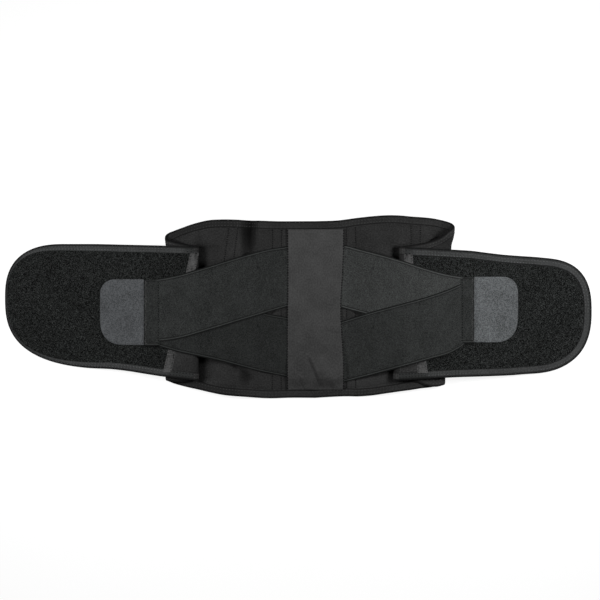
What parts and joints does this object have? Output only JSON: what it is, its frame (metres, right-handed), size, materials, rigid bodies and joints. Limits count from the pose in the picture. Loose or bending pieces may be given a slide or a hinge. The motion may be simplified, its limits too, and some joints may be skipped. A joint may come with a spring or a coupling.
{
  "type": "lumbar support belt",
  "caption": "Lumbar support belt lying outer face up: tall stayed back panel, crossing elastic bands with hook tabs, sides in Z-folds and round-ended loop wings that close in front.",
  "frame": {"origin": "middle of the spine on the face that lies against the wearer", "axes": "+X along the belt to the right as seen from outside, +Y up the wearer's back, +Z out of the outer face"},
  "size_m": [0.762, 0.2375, 0.0264],
  "materials": {
    "cloth": "dense woven polyester",
    "lining": "knitted spacer mesh",
    "foam": "open-cell foam",
    "binding": "ribbed woven tape",
    "satin": "satin nylon",
    "elastic": "woven elastic webbing",
    "loop": "brushed loop pile",
    "tab": "woven nylon backing",
    "hooks": "moulded hooks",
    "spring_steel": "blued spring steel"
  },
  "bodies": {
    "back": {"back_lining": "lining", "back_foam": "foam", "back_shell": "cloth", "back_binding_top": "binding", "back_binding_bottom": "binding", "stay_left_outer": "spring_steel", "stay_left_inner": "spring_steel", "stay_right_inner": "spring_steel", "stay_right_outer": "spring_steel", "spine_cover": "satin", "left_upper_band": "elastic", "left_lower_band": "elastic", "right_upper_band": "elastic", "right_lower_band": "elastic", "left_fold_panel": "cloth", "left_fold_binding": "binding", "right_fold_panel": "cloth", "right_fold_binding": "binding"},
    "left_side": {"left_root_lining": "lining", "left_root_foam": "foam", "left_root_cloth": "cloth", "left_root_loop": "loop", "left_root_binding": "binding", "left_joint_tape": "satin", "left_hem": "elastic", "left_wing_crease": "loop"},
    "left_wing": {"left_wing_lining": "lining", "left_wing_foam": "foam", "left_wing_loop": "loop", "left_wing_binding": "binding"},
    "left_tab": {"left_tab_hooks": "hooks", "left_tab_backing": "tab"},
    "right_side": {"right_root_lining": "lining", "right_root_foam": "foam", "right_root_cloth": "cloth", "right_root_loop": "loop", "right_root_binding": "binding", "right_joint_tape": "satin", "right_hem": "elastic", "right_wing_crease": "loop"},
    "right_wing": {"right_wing_lining": "lining", "right_wing_foam": "foam", "right_wing_loop": "loop", "right_wing_binding": "binding", "closure_hooks": "hooks"},
    "right_tab": {"right_tab_hooks": "hooks", "right_tab_backing": "tab"}
  },
  "joints": [
    {"name": "left_side_stretch", "type": "slide", "parent": "back", "child": "left_side", "axis": [-1, 0, 0], "range_m": [0, 0.085], "stiffness_N_per_m": 300, "deforming": ["left_upper_band", "left_lower_band", "left_fold_panel", "left_fold_binding"]},
    {"name": "left_wing_wrap", "type": "hinge", "parent": "left_side", "child": "left_wing", "pos_m": [-0.2225, 0, 0.02184], "axis": [0, -1, 0], "range_deg": [-15, 80], "deforming": ["left_wing_crease"]},
    {"name": "left_tab_peel", "type": "hinge", "parent": "left_wing", "child": "left_tab", "pos_m": [-0.2225, 0, 0.02184], "axis": [0, 1, 0], "range_deg": [0, 85]},
    {"name": "right_side_stretch", "type": "slide", "parent": "back", "child": "right_side", "axis": [1, 0, 0], "range_m": [0, 0.085], "stiffness_N_per_m": 300, "deforming": ["right_upper_band", "right_lower_band", "right_fold_panel", "right_fold_binding"]},
    {"name": "right_wing_wrap", "type": "hinge", "parent": "right_side", "child": "right_wing", "pos_m": [0.2055, 0, 0.02198], "axis": [0, 1, 0], "range_deg": [-15, 80], "deforming": ["right_wing_crease"]},
    {"name": "right_tab_peel", "type": "hinge", "parent": "right_wing", "child": "right_tab", "pos_m": [0.2055, 0, 0.02198], "axis": [0, -1, 0], "range_deg": [0, 85]}
  ]
}
